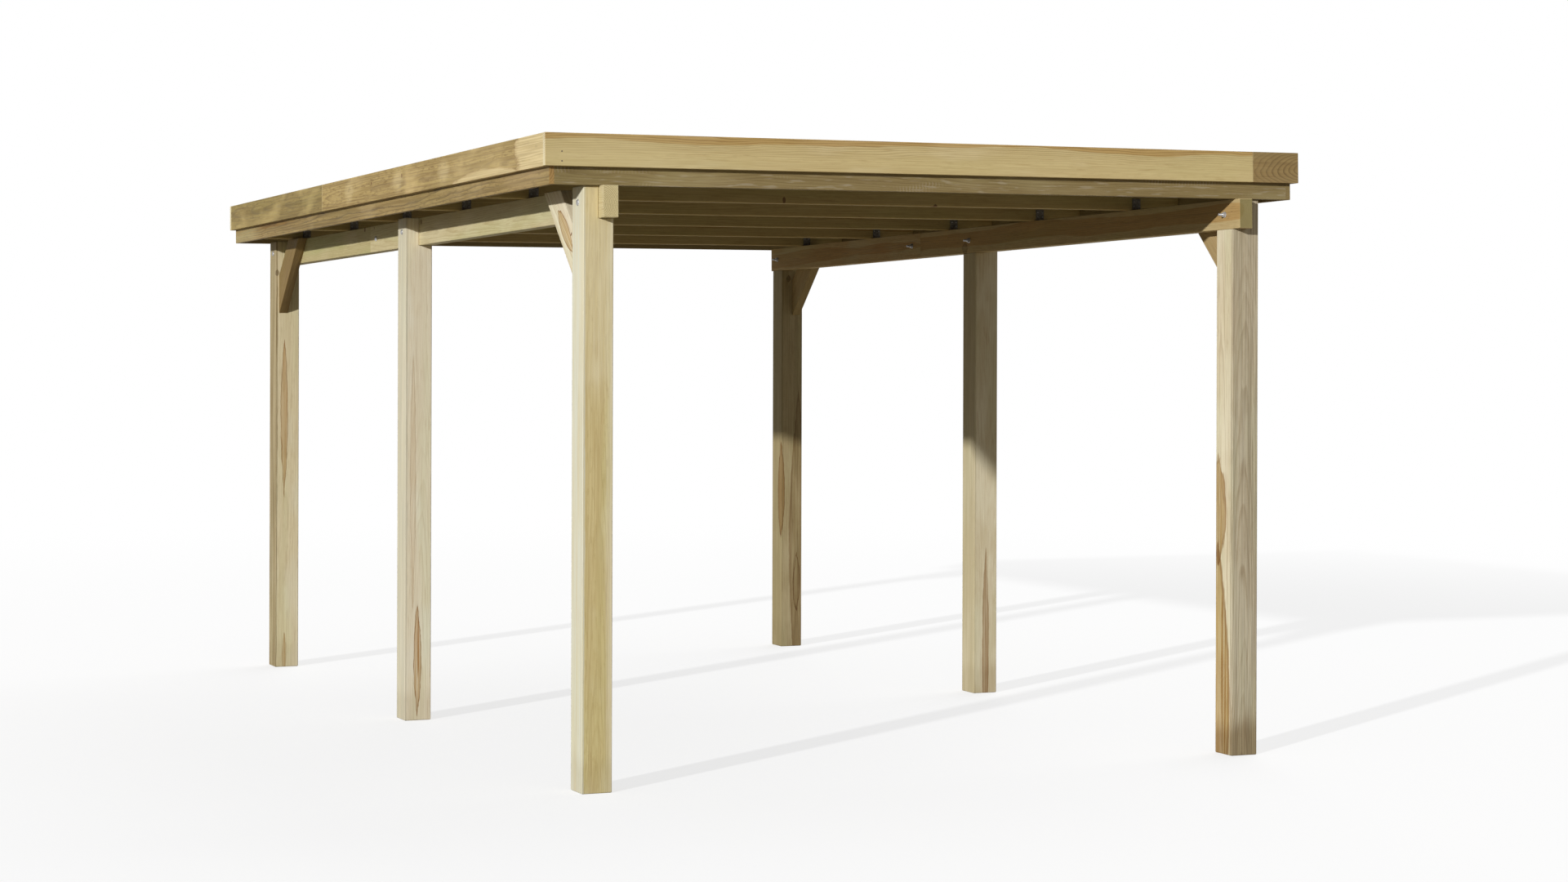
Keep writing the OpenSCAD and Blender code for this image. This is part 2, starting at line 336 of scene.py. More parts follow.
# Looks of each kind of stock: colours, ring width, ripple and heart radius, the share of each effect,
# and the colour of the sawn ends
STOCK = {
    "post": dict(early=(0.74, 0.645, 0.41), late=(0.50, 0.37, 0.18), pale=(0.80, 0.74, 0.55),
                 ring=0.007, ripple=0.010, heart=0.0, contrast=0.6, cloud=0.6, green=0.25, knots=0.2,
                 foot=0.25, ends=(0.50, 0.42, 0.25)),
    "beam": dict(early=(0.50, 0.40, 0.20), late=(0.31, 0.23, 0.10), pale=(0.58, 0.50, 0.29),
                 ring=0.006, ripple=0.008, heart=0.035, contrast=0.8, cloud=0.4, green=0.35, knots=0.3,
                 ends=(0.42, 0.37, 0.18)),
    "brace": dict(early=(0.72, 0.61, 0.39), late=(0.48, 0.34, 0.16), pale=(0.80, 0.73, 0.55),
                  ring=0.006, ripple=0.01, heart=0.0, contrast=0.8, cloud=0.4, green=0.2, knots=0.2,
                  ends=(0.50, 0.42, 0.25)),
    "rafter": dict(early=(0.52, 0.40, 0.17), late=(0.33, 0.225, 0.08), pale=(0.58, 0.47, 0.23),
                   ring=0.006, ripple=0.01, heart=0.035, contrast=0.8, cloud=0.3, green=0.3, knots=0.35,
                   ends=(0.40, 0.30, 0.14)),
    "rim": dict(early=(0.32, 0.24, 0.10), late=(0.17, 0.115, 0.042), pale=(0.40, 0.32, 0.165),
                ring=0.006, ripple=0.012, heart=0.03, contrast=1.0, cloud=0.4, green=0.2, knots=0.3,
                ends=(0.46, 0.27, 0.09)),
    "fascia": dict(early=(0.66, 0.53, 0.26), late=(0.38, 0.255, 0.095), pale=(0.74, 0.62, 0.36),
                   ring=0.008, ripple=0.014, heart=0.02, contrast=1.0, cloud=0.5, green=0.12, knots=0.2,
                   ends=(0.80, 0.72, 0.50)),
}
PLAIN = dict(scuff=0.0, band=0.25)

# Boards that the photograph shows apart from their kind.
# Pith and lean are across and through the board.
BOARDS = {
    "post_front_left": dict(early=(0.71, 0.59, 0.30), late=(0.48, 0.35, 0.14), pale=(0.80, 0.71, 0.46),
                            lean=(0.0, 0.02), contrast=0.45, cloud=0.8, green=0.3, band=0.4),
    "post_middle_left": dict(early=(0.84, 0.76, 0.57), late=(0.63, 0.50, 0.32), pale=(0.86, 0.81, 0.66),
                             pith=(0.005, 0.0), lean=(0.0, 0.03), contrast=0.4, band=0.15),
    "post_rear_left": dict(early=(0.77, 0.67, 0.44), late=(0.52, 0.40, 0.20)),
    "post_front_right": dict(early=(0.74, 0.65, 0.46), late=(0.44, 0.34, 0.20), pith=(0.0, 0.0),
                             lean=(0.0, 0.03), contrast=0.9, foot=0.9),
    "post_middle_right": dict(early=(0.66, 0.575, 0.385), late=(0.54, 0.42, 0.24)),
    "post_rear_right": dict(early=(0.42, 0.34, 0.185), late=(0.26, 0.19, 0.09), pale=(0.54, 0.46, 0.28),
                            contrast=1.0),
    "beam_left_front": dict(early=(0.60, 0.52, 0.30), late=(0.41, 0.32, 0.15), pale=(0.70, 0.63, 0.42),
                            heart=0.0, ends=(0.74, 0.62, 0.33)),
    "beam_left_rear": dict(early=(0.52, 0.45, 0.23), late=(0.33, 0.26, 0.11), heart=0.0, green=0.6),
    "beam_right_front": dict(early=(0.56, 0.43, 0.215), pith=(0.015, -0.03), ends=(0.23, 0.20, 0.075)),
    "beam_right_rear": dict(early=(0.55, 0.39, 0.18), late=(0.33, 0.22, 0.085)),
    "brace_front_left": dict(early=(0.82, 0.75, 0.57)),
    # Painted shade, in part: this brace is coloured a darker brown for the shade that falls over most of
    # it.
    "brace_front_right": dict(early=(0.44, 0.32, 0.155), late=(0.28, 0.19, 0.08), pale=(0.50, 0.38, 0.20)),
    "brace_rear_left": dict(early=(0.25, 0.17, 0.062), late=(0.15, 0.09, 0.03), pale=(0.30, 0.22, 0.09)),
    "brace_rear_right": dict(early=(0.42, 0.31, 0.145), late=(0.27, 0.185, 0.075),
                             pale=(0.47, 0.37, 0.20)),
    "rim_front": dict(early=(0.29, 0.22, 0.095), scuff=0.25, heart=0.0),
    "rim_left": dict(early=(0.37, 0.265, 0.105), late=(0.085, 0.052, 0.017), pale=(0.50, 0.38, 0.19),
                     ring=0.009, knots=0.15, band=0.5),
    "rim_right": dict(ends=(0.26, 0.19, 0.08)),
    "fascia_front_long": dict(late=(0.27, 0.165, 0.055), pith=(0.10, -0.02), lean=(0.004, 0.0),
                              heart=0.065, ripple=0.030, band=0.12),
    "fascia_front_short": dict(early=(0.34, 0.235, 0.095), late=(0.12, 0.072, 0.026),
                               pale=(0.36, 0.26, 0.12), pith=(0.0, -0.05), lean=(0.0, 0.30), heart=0.0),
    "fascia_left_front": dict(early=(0.46, 0.34, 0.135), late=(0.15, 0.088, 0.029),
                              pale=(0.62, 0.47, 0.22), ripple=0.012, heart=0.0, contrast=0.8,
                              cloud=0.7, band=0.6),
    "fascia_left_rear": dict(early=(0.31, 0.23, 0.082), late=(0.11, 0.072, 0.023),
                             pale=(0.46, 0.35, 0.14), ripple=0.012, heart=0.0, contrast=0.8,
                             cloud=0.7, green=0.2, band=0.5),
}

# Marks on single boards. A mark on the front or left face is placed aside from the middle of its board
# and by its height, and one on the roof across, down and above the roof plane. Its half sizes are
# along, across and through the board, and core is the share of its reach where the edge begins to fade.
Mark = namedtuple("Mark", "face at half colour strength blend core outline")
CLEAR_EDGE = 0.86
HALF_EDGE = 0.5
SOFT_EDGE = 0.1
BROWN = (0.66, 0.45, 0.25)
TAN = (0.70, 0.54, 0.31)
ORANGE = (0.60, 0.42, 0.20)
REDDISH = (0.54, 0.40, 0.29)
GREY = (0.55, 0.53, 0.525)
GREY_BROWN = (0.66, 0.58, 0.48)
DARK = (0.30, 0.23, 0.16)
CREAM = (0.76, 0.62, 0.345)
OUTLINE_TINT = (0.48, 0.33, 0.20, 1)
PATCH_OUTLINE = 0.35
POST_HALF = (POST_HIGH.x - POST_LOW.x) / 2
WHOLE_LENGTH = 3.0
LEFT_LOW, LEFT_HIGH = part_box("fascia_left_front")
LEFT_FACE = LEFT_LOW.x
LEFT_JOINT = ((LEFT_HIGH.y - LEFT_LOW.y) / 2, (LEFT_LOW.z + LEFT_HIGH.z) / 2)
RIM_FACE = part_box("rim_left")[0].x


def streak(face, at, half, colour=BROWN, strength=0.8, outline=0.5):
    """Darker wood with a clear border."""
    return Mark(face, at, half, colour, strength, "MULTIPLY", CLEAR_EDGE, outline)


def patch(at, half, colour=CREAM, strength=0.9):
    """Wood of another colour on a roof board, with a clear border."""
    return Mark("roof", at, half, colour, strength, "MIX", CLEAR_EDGE, PATCH_OUTLINE)


def haze(face, at, half, strength, colour=CREAM, core=SOFT_EDGE):
    """A smudge without a border."""
    return Mark(face, at, half, colour, strength, "MIX", core, 0.0)


def left_face_tone_and_painted_light(colour, strength):
    """The tone of a post's whole left face, round to the arris: partly the wood's own tone, partly painted
    light that sets the key-lit side paler or darker than the front.
    """
    half = (WHOLE_LENGTH, 0.2 * POST_HALF, 5 * POST_HALF)
    return haze("left", (0.0, POST_HIGH.z / 2), half, strength, colour, HALF_EDGE)


MARKS = {
    # The left-face tones are partly painted light: colour sets the side that the low key lamp lights paler
    # or darker than the front.
    "post_front_left": [
        # Painted highlight: this left face is paled to near white, as strong low light bleaches it.
        left_face_tone_and_painted_light((0.69, 0.69, 0.575), 0.9),
        haze("front", (0.0, 1.95), (0.60, 0.20, 0.06), 0.6, (0.80, 0.71, 0.47)),
        haze("front", (0.055, 1.0), (WHOLE_LENGTH, 0.034, 0.05), 0.7, (0.80, 0.73, 0.53)),
        haze("front", (-0.005, 0.52), (0.75, 0.040, 0.05), 0.5, (0.58, 0.46, 0.20))],
    "post_middle_left": [
        left_face_tone_and_painted_light((0.53, 0.495, 0.37), 0.9),
        streak("front", (-0.003, 0.26), (0.25, 0.018, 0.02), BROWN, 0.8, 0.9),
        streak("front", (0.0, 0.33), (0.16, 0.006, 0.02), BROWN, 0.9, 0.0),
        streak("front", (-0.025, 1.05), (0.60, 0.013, 0.02), BROWN, 0.3)],
    "post_rear_left": [
        left_face_tone_and_painted_light((0.22, 0.16, 0.068), 0.95),
        streak("front", (-0.016, 1.27), (0.42, 0.019, 0.02), BROWN, 0.75, 0.8),
        streak("front", (-0.014, 0.06), (0.13, 0.011, 0.02), BROWN, 0.7),
        streak("left", (-0.0063, 0.98), (0.52, 0.02, 0.005), DARK),
        streak("front", (-0.055, 1.99), (0.016, 0.014, 0.02), DARK, 0.9)],
    "post_front_right": [
        streak("left", (0.0417, 0.20), (0.68, 0.03, 0.090), TAN, 1.0, 0.7),
        streak("left", (0.0417, 0.99), (0.23, 0.03, 0.064), ORANGE, 0.9, 0.5),
        streak("left", (0.0077, 0.34), (0.40, 0.03, 0.008), ORANGE, 1.0, 0.8),
        streak("left", (-0.0123, 0.30), (0.36, 0.03, 0.006), ORANGE, 1.0, 0.8),
        streak("front", (0.0, 1.0), (WHOLE_LENGTH, 0.3, 0.012), GREY, 0.9, 0.0)],
    "post_middle_right": [
        left_face_tone_and_painted_light((0.46, 0.39, 0.23), 0.85),
        streak("front", (0.002, 0.22), (0.50, 0.018, 0.02), REDDISH, 1.0, 0.4)],
    "post_rear_right": [
        left_face_tone_and_painted_light((0.28, 0.225, 0.11), 0.9),
        streak("left", (-0.0513, 0.84), (0.27, 0.02, 0.037), BROWN, 0.85, 0.8),
        streak("front", (0.04, 0.55), (0.85, 0.056, 0.02), GREY_BROWN, 0.9),
        streak("front", (0.03, 0.34), (0.16, 0.022, 0.02), GREY_BROWN, 0.7, 0.9),
        streak("front", (-0.022, 1.983), (0.022, 0.012, 0.02), DARK, 0.9)],
    "brace_front_left": [
        streak("left", (-0.0638, 2.088), (0.125, 0.034, 0.02), TAN, 0.9, 0.9)],
    "beam_right_front": [
        streak("left", (0.8594, 2.10), (0.034, 0.03, 0.02), DARK, 0.6, 0.0)],
    "rim_left": [
        haze("roof", (RIM_FACE, 4.55, 0.05), (0.45, 0.10, 0.06), 0.6, (0.38, 0.33, 0.16)),
        haze("roof", (RIM_FACE, 0.25, 0.05), (0.35, 0.10, 0.06), 0.5, (0.46, 0.33, 0.17))],
    "rim_front": [
        haze("roof", (-1.15, -0.05, 0.05), (0.75, 0.10, 0.05), 0.7, (0.54, 0.42, 0.19)),
        haze("roof", (1.25, -0.05, 0.05), (0.65, 0.10, 0.05), 0.6, (0.26, 0.185, 0.068))],
    "fascia_front_long": [
        haze("roof", (-1.35, -0.06, 0.12), (0.55, 0.12, 0.05), 0.5, (0.76, 0.62, 0.34))],
    "fascia_left_front": [
        patch((LEFT_FACE, 0.66, 0.066), (0.43, 0.040, 0.03)),
        patch((LEFT_FACE, 0.0, 0.13), (0.31, 0.5, 0.03)),
        haze("roof", (LEFT_FACE, 0.75, 0.10), (0.65, 0.2, 0.05), 0.4, (0.52, 0.40, 0.19)),
        haze("left", LEFT_JOINT, (0.008, 0.6, 0.05), 0.9, (0.60, 0.48, 0.26), HALF_EDGE),
        haze("roof", (LEFT_FACE, 1.17, 0.13), (0.10, 0.07, 0.03), 0.4),
        haze("roof", (LEFT_FACE, 1.80, 0.13), (0.10, 0.07, 0.03), 0.4),
        haze("roof", (LEFT_FACE, 2.53, 0.13), (0.10, 0.07, 0.03), 0.4)],
}
# Reach of an outline's wandering: a length along each axis, at most a share of the mark's half size
MARK_DRIFT = 0.6
MARK_SLACK = (0.12, 0.010, 0.010)
MARK_STRETCH = (14.0, 45.0, 45.0)
MARK_LINE_STRETCH = (2.5, 190.0, 190.0)
MARK_LINE_FADE = (0.38, 0.62, 0.55, 1.0)
OUTLINE_RISE = (0.70, 0.92)
OUTLINE_FALL = (1.02, 0.94)


def mark_place(node, mark):
    """The middle of a mark in the frame."""
    low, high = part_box(node)
    middle = (low + high) / 2
    if mark.face == "roof":
        return ROOF @ Vector(mark.at)
    aside, height = mark.at
    if mark.face == "front":
        return Vector((middle.x + aside, low.y, height))
    return Vector((low.x, middle.y + aside, height))


def mark_reach(graph, board, place, half, wander):
    """Distance from a mark's middle, 1 at its outline, which is pointed along the grain."""
    loose = tuple(min(MARK_DRIFT, slack / size) for slack, size in zip(MARK_SLACK, half))
    offset = graph.vector("DIVIDE", graph.vector("SUBTRACT", board, place), half)
    offset = graph.vector("ADD", offset, graph.vector("MULTIPLY", wander, loose))
    along = graph.split(offset)["X"]
    return graph.math("MULTIPLY_ADD", along, along, graph.across_length(offset))


def marked(graph, node, board, colour, centre, turn):
    """The colour with the board's marks laid over it."""
    wander = graph.drift(board, MARK_STRETCH, 1.0, detail=3.0)
    lines = graph.fade(graph.noise(board, MARK_LINE_STRETCH), *MARK_LINE_FADE)
    for mark in MARKS.get(node, ()):
        place = turn.transposed() @ (mark_place(node, mark) - centre)
        reach = mark_reach(graph, board, place, mark.half, wander)
        inside = graph.math("MULTIPLY", graph.fade(reach, 1.0, mark.core, 0.0, mark.strength), lines)
        colour = graph.mix(inside, colour, (*mark.colour, 1), mark.blend)
        if mark.outline:
            rise = graph.fade(reach, *OUTLINE_RISE, 0.0, mark.outline)
            rim = graph.math("MULTIPLY", rise, graph.fade(reach, *OUTLINE_FALL))
            colour = graph.tinted(rim, colour, OUTLINE_TINT)
    return colour


FOOT_STRETCH = (9.0, 9.0, 3.0)
FOOT_WAVE = 0.16
FOOT_FADE = (0.25, 0.15)
FOOT_TINT = (0.60, 0.53, 0.44, 1)
END_FADE = (0.88, 0.98)
END_SHARE = 0.7
END_RING_FADE = (0.50, 0.85, 0.0, 0.8)
END_RING_TINT = (0.55, 0.50, 0.40, 1)
SEED_REACH = 20
GRAIN_BUMP = {"Strength": 0.4, "Distance": 0.0012}
GRAIN_ROUGHNESS = (0.2, 1.0, 0.84, 0.66)
TIMBER_SPECULAR = 0.3


def damp_foot(graph, world, colour, share):
    """A darker foot where a post draws up water."""
    wave = graph.noise(world, FOOT_STRETCH, detail=3.0)
    edge = graph.math("MULTIPLY_ADD", wave, FOOT_WAVE, graph.split(world)["Z"])
    return graph.tinted(graph.fade(edge, *FOOT_FADE, 0.0, share), colour, FOOT_TINT)


def sawn_ends(graph, grain, colour, height, end_colour):
    """Sawn ends of their own colour, with the rings drawn on them."""
    normal = graph.add("ShaderNodeNewGeometry").outputs["Normal"]
    facing_end = graph.math("ABSOLUTE", graph.vector("DOT_PRODUCT", normal, grain))
    end = graph.fade(facing_end, *END_FADE)
    colour = graph.mix(graph.math("MULTIPLY", end, END_SHARE), colour, (*end_colour, 1))
    ring = graph.fade(height, *END_RING_FADE)
    return graph.tinted(graph.math("MULTIPLY", end, ring), colour, END_RING_TINT)


def pine(graph, board, seed, look):
    """Outputs of the timber group, set to one look."""
    wood = graph.add("ShaderNodeGroup", node_tree=TIMBER)
    graph.feed(wood.inputs["Board"], board)
    graph.feed(wood.inputs["Seed"], seed)
    for key in LOOK_OFFSETS:
        graph.feed(wood.inputs[key.capitalize()], (0, *look[key]))
    for key in LOOK_COLOURS:
        graph.feed(wood.inputs[key.capitalize()], (*look[key], 1))
    for key in LOOK_NUMBERS:
        graph.feed(wood.inputs[key.capitalize()], look[key])
    return wood.outputs


def timber_material(node, grain, width, look):
    """Pine for one board."""
    dice = random.Random(node)
    seed = tuple(dice.uniform(-SEED_REACH, SEED_REACH) for _ in range(3))
    low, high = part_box(node)
    centre = (low + high) / 2
    turn = Matrix((grain, width, grain.cross(width))).transposed()
    material, graph, shader = new_material("pine_" + node)
    world = graph.add("ShaderNodeTexCoord").outputs["Object"]
    placing = {"Vector": world, "Location": centre, "Rotation": turn.to_euler()}
    board = graph.add("ShaderNodeMapping", placing, vector_type="TEXTURE").outputs[0]
    wood = pine(graph, board, seed, look)
    height = wood["Height"]
    colour = wood["Color"]
    if node in MARKS:
        colour = marked(graph, node, board, colour, centre, turn)
    if "foot" in look:
        colour = damp_foot(graph, world, colour, look["foot"])
    colour = sawn_ends(graph, grain, colour, height, look["ends"])
    bump = graph.add("ShaderNodeBump", {**GRAIN_BUMP, "Height": height})
    graph.feed(shader.inputs["Base Color"], colour)
    graph.feed(shader.inputs["Roughness"], graph.fade(height, *GRAIN_ROUGHNESS))
    graph.feed(shader.inputs["Normal"], bump.outputs[0])
    shader.inputs["Specular IOR Level"].default_value = TIMBER_SPECULAR
    return material


# Steel

SHEET_COLOUR = (0.078, 0.076, 0.066, 1)
DUST_COLOUR = (0.15, 0.145, 0.125, 1)
DUST_STRETCH = (7.0, 1.6, 7.0)
DUST_FADE = (0.42, 0.72, 0.0, 0.45)
DUST_ROUGHNESS = (0.35, 0.75, 0.42, 0.7)
COATING_STRETCH = (900.0, 900.0, 900.0)
COATING_BUMP = {"Strength": 0.1, "Distance": 0.0003}
SPANGLE_SCALE = 160.0
SPANGLE_ROUGHNESS = 0.1
TARNISH_STRETCH = (60.0, 60.0, 60.0)
TARNISH_FADE = (0.42, 0.68)


def painted_steel():
    """Dark coil-coated steel with dust that lies along the slope."""
    material, graph, shader = new_material("painted_steel")
    world = graph.add("ShaderNodeTexCoord").outputs["Object"]
    dust = graph.noise(world, DUST_STRETCH, detail=4.0, roughness=0.6)
    grain = graph.noise(world, COATING_STRETCH, detail=1.0)
    bump = graph.add("ShaderNodeBump", {**COATING_BUMP, "Height": grain})
    colour = graph.mix(graph.fade(dust, *DUST_FADE), SHEET_COLOUR, DUST_COLOUR)
    graph.feed(shader.inputs["Base Color"], colour)
    graph.feed(shader.inputs["Roughness"], graph.fade(dust, *DUST_ROUGHNESS))
    graph.feed(shader.inputs["Normal"], bump.outputs[0])
    return material


def plated_steel(name, bright, dull, metallic, roughness):
    """Plated steel with a fine spangle and some tarnish."""
    material, graph, shader = new_material(name)
    world = graph.add("ShaderNodeTexCoord").outputs["Object"]
    spangle = graph.add("ShaderNodeTexVoronoi", {"Vector": world, "Scale": SPANGLE_SCALE})
    level = graph.add("ShaderNodeSeparateColor", {"Color": spangle.outputs["Color"]}).outputs["Red"]
    tarnish = graph.fade(graph.noise(world, TARNISH_STRETCH, detail=3.0), *TARNISH_FADE)
    gloss = graph.fade(level, 0.0, 1.0, roughness - SPANGLE_ROUGHNESS, roughness + SPANGLE_ROUGHNESS)
    graph.feed(shader.inputs["Base Color"], graph.mix(tarnish, (*bright, 1), (*dull, 1)))
    graph.feed(shader.inputs["Roughness"], gloss)
    shader.inputs["Metallic"].default_value = metallic
    return material


# Fasteners. A profile is (distance, radius) rings of rising distance from the face it sits on.

SHARP_ANGLE = math.radians(35)
HEX_SIDES = 6
SMALL_SIDES = 12
THREAD_SIDES = 16
ROUND_SIDES = 24
BOLT_DEPTH = 0.060
BOLT_HEAD_RADIUS = 0.0125
BOLT_HEAD_HEIGHT = 0.006
BOLT_HEAD_STEPS = 6
WASHER_RADIUS = 0.012
WASHER_THICKNESS = 0.0025
NUT_RADIUS = 0.0098
NUT_THICKNESS = 0.008
THREAD_RADIUS = 0.005
THREAD_ROOT = 0.0042
THREAD_PITCH = 0.0015
THREAD_TURNS = 13
CHAMFER = 0.0008
TIP = 0.0004


class Solids:
    """Closed turned bodies gathered into one mesh."""

    def __init__(self):
        self.points = []
        self.faces = []

    def lathe(self, profile, sides, place):
        """A body turned about X."""
        start = len(self.points)
        turns = [2 * math.pi * k / sides for k in range(sides)]
        for distance, radius in profile:
            ring = [Vector((distance, radius * math.cos(t), radius * math.sin(t))) for t in turns]
            self.points += [place @ point for point in ring]
        for r in range(len(profile) - 1):
            here = start + r * sides
            for k in range(sides):
                after = (k + 1) % sides
                self.faces.append((here + k, here + after, here + sides + after, here + sides + k))
        last = start + (len(profile) - 1) * sides
        self.faces.append(tuple(range(start + sides - 1, start - 1, -1)))
        self.faces.append(tuple(range(last, last + sides)))

    def piece(self, name, material):
        mesh = bpy.data.meshes.new(name)
        mesh.from_pydata(self.points, [], self.faces)
        mesh.materials.append(material)
        mesh.shade_smooth()
        mesh.set_sharp_from_angle(angle=SHARP_ANGLE)
        piece = bpy.data.objects.new(name, mesh)
        bpy.context.scene.collection.objects.link(piece)
        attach(piece, BODY)


def facing(point, outward):
    """Place whose X axis points outward."""
    turn = ACROSS.rotation_difference(Vector(outward))
    return Matrix.Translation(point) @ turn.to_matrix().to_4x4()


def slab(radius, low, high):
    """Profile of a disc with eased rims."""
    return [(low, radius - CHAMFER), (low + CHAMFER / 2, radius), (high - CHAMFER / 2, radius),
            (high, radius - CHAMFER)]


def dome(radius, height):
    """Profile of a round bolt head."""
    turns = [math.pi / 2 * k / BOLT_HEAD_STEPS for k in range(BOLT_HEAD_STEPS)]
    return [(height * math.sin(t), radius * math.cos(t)) for t in turns] + [(height, TIP)]


def thread(start):
    """Profile of a threaded end."""
    profile = []
    for turn in range(THREAD_TURNS):
        at = start + turn * THREAD_PITCH
        profile += [(at, THREAD_ROOT), (at + THREAD_PITCH / 2, THREAD_RADIUS)]
    return profile + [(start + THREAD_TURNS * THREAD_PITCH, THREAD_ROOT)]


def add_bolt(name, side, outer, inner, y, material):
    """A through bolt: round head on the outer face, washer, nut and thread end on the inner face."""
    z = POST_HIGH.z - (y - POST_LOW.y) * math.tan(ROOF_FALL) - BOLT_DEPTH
    head = facing((side * outer, y, z), (side, 0, 0))
    tail = facing((side * inner, y, z), (-side, 0, 0))
    nut_end = WASHER_THICKNESS + NUT_THICKNESS
    bolt = Solids()
    bolt.lathe(dome(BOLT_HEAD_RADIUS, BOLT_HEAD_HEIGHT), ROUND_SIDES, head)
    bolt.lathe(slab(WASHER_RADIUS, 0, WASHER_THICKNESS), ROUND_SIDES, tail)
    bolt.lathe(slab(NUT_RADIUS, WASHER_THICKNESS, nut_end), HEX_SIDES, tail)
    bolt.lathe(thread(nut_end), THREAD_SIDES, tail)
    bolt.piece(name, material)


def add_bolts(material):
    """A bolt through each post and beam, and one through each beam splice."""
    for side, hand in ((-1, "left"), (1, "right")):
        front_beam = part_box("beam_%s_front" % hand)
        rear_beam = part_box("beam_%s_rear" % hand)
        inner, outer = sorted(abs(corner.x) for corner in rear_beam)
        splice_y = (front_beam[1].y + rear_beam[0].y) / 2
        add_bolt("bolt_splice_" + hand, side, outer, inner, splice_y, material)
        for row in ("front", "middle", "rear"):
            low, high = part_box("post_%s_%s" % (row, hand))
            post_face = max(abs(low.x), abs(high.x))
            post_y = (low.y + high.y) / 2
            add_bolt("bolt_%s_%s" % (row, hand), side, post_face, inner, post_y, material)


PLATE = 0.003
SCREW_HEAD = ((0, 0.0040), (0.0010, 0.0040), (0.0020, 0.0030), (0.0025, 0.0014), (0.0026, TIP))
SCREW_SPREAD = 0.011
SCREW_ROWS = (0.018, 0.038)
RAFTERS = ["rafter_%d" % i for i in range(1, 6)]


def add_bracket_screws(material):
    """Screw heads on both legs of each angle bracket."""
    for hand in ("left", "right"):
        low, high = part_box("brackets_" + hand)
        middle = (low.x + high.x) / 2
        screws = Solids()
        for rafter in RAFTERS:
            face = (ROOF.inverted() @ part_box(rafter)[0]).y
            for x in (middle - SCREW_SPREAD, middle + SCREW_SPREAD):
                for row in SCREW_ROWS:
                    upright = ROOF @ Vector((x, face - PLATE, row))
                    flat = ROOF @ Vector((x, face - row, PLATE))
                    screws.lathe(SCREW_HEAD, SMALL_SIDES, facing(upright, -DOWN_SLOPE))
                    screws.lathe(SCREW_HEAD, SMALL_SIDES, facing(flat, ROOF_NORMAL))
        screws.piece("bracket_screws_" + hand, material)


NAIL_HEAD = ((0, 0.0030), (0.0003, 0.0030), (0.0005, 0.0022), (0.0006, TIP))
NAIL_FROM_END = 0.066
NAIL_HEIGHTS = (0.085, 0.121)


def add_fascia_nails(material):
    """A pair of nail heads at the left end of the front and rear fascia."""
    nails = Solids()
    faces = (("fascia_front_long", 0, -DOWN_SLOPE), ("fascia_rear_long", 1, DOWN_SLOPE))
    for node, corner, outward in faces:
        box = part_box(node)
        face = (ROOF.inverted() @ box[corner]).y
        for height in NAIL_HEIGHTS:
            point = ROOF @ Vector((box[0].x + NAIL_FROM_END, face, height))
            nails.lathe(NAIL_HEAD, SMALL_SIDES, facing(point, outward))
    nails.piece("fascia_nails", material)


ROOF_PANS = 18
SEAL = ((0, 0.0078), (0.0014, 0.0074), (0.0020, 0.0060), (0.0021, TIP))
SEAL_SIDES = 16
HEX_HEAD = ((0.0020, 0.0046), (0.0024, 0.0050), (0.0062, 0.0050), (0.0068, 0.0043))


def add_roof_screws(material):
    """Hexagon screws with seals, in the middle of each pan over each rafter."""
    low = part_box("roof_sheet_left")[0].x
    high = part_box("roof_sheet_right")[1].x
    screws = Solids()
    for rafter in RAFTERS:
        front, rear = [ROOF.inverted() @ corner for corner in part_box(rafter)]
        for k in range(ROOF_PANS):
            x = low + (high - low) * (k + 0.5) / ROOF_PANS
            place = facing(ROOF @ Vector((x, (front.y + rear.y) / 2, rear.z + PLATE)), ROOF_NORMAL)
            screws.lathe(SEAL, SEAL_SIDES, place)
            screws.lathe(HEX_HEAD, HEX_SIDES, place)
    screws.piece("roof_screws", material)


# Dressing of the CAD nodes

EDGES = {"post": 0.004, "rafter": 0.005, "beam": 0.003, "brace": 0.003,
         "rim": 0.0022, "fascia": 0.0022}
BRACKET_EDGE = 0.0008
EDGE_SEGMENTS = 2
EDGE_ANGLE = math.radians(40)
WELD_REACH = 0.00005

# How far a board's pith lies from its middle across and through it, and its lean along the board
POST_PITH = 0.02
BOARD_PITH = 0.035
BOARD_PITH_DEPTH = (0.04, 0.08)
PITH_LEAN = (0.006, 0.02)


def soften(node, width):
    """Eased edges on a CAD node."""
    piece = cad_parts[node]
    weld = piece.modifiers.new("weld", "WELD")
    weld.merge_threshold = WELD_REACH
    bevel = piece.modifiers.new("edges", "BEVEL")
    bevel.width = width
    bevel.segments = EDGE_SEGMENTS
    bevel.limit_method = "ANGLE"
    bevel.angle_limit = EDGE_ANGLE
    bevel.harden_normals = True


def dress(node, material):
    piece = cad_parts[node]
    piece.data.materials.clear()
    piece.data.materials.append(material)


def board_axes(kind, place):
    """Directions of a board's grain and of its face width."""
    if kind == "post":
        return UP, ACROSS
    if kind == "brace":
        lean = 1 if place == "front" else -1
        return Vector((0, lean, 1)).normalized(), Vector((0, -lean, 1)).normalized()
    if kind == "beam" or place in ("left", "right"):
        return DOWN_SLOPE, ROOF_NORMAL
    return ACROSS, ROOF_NORMAL


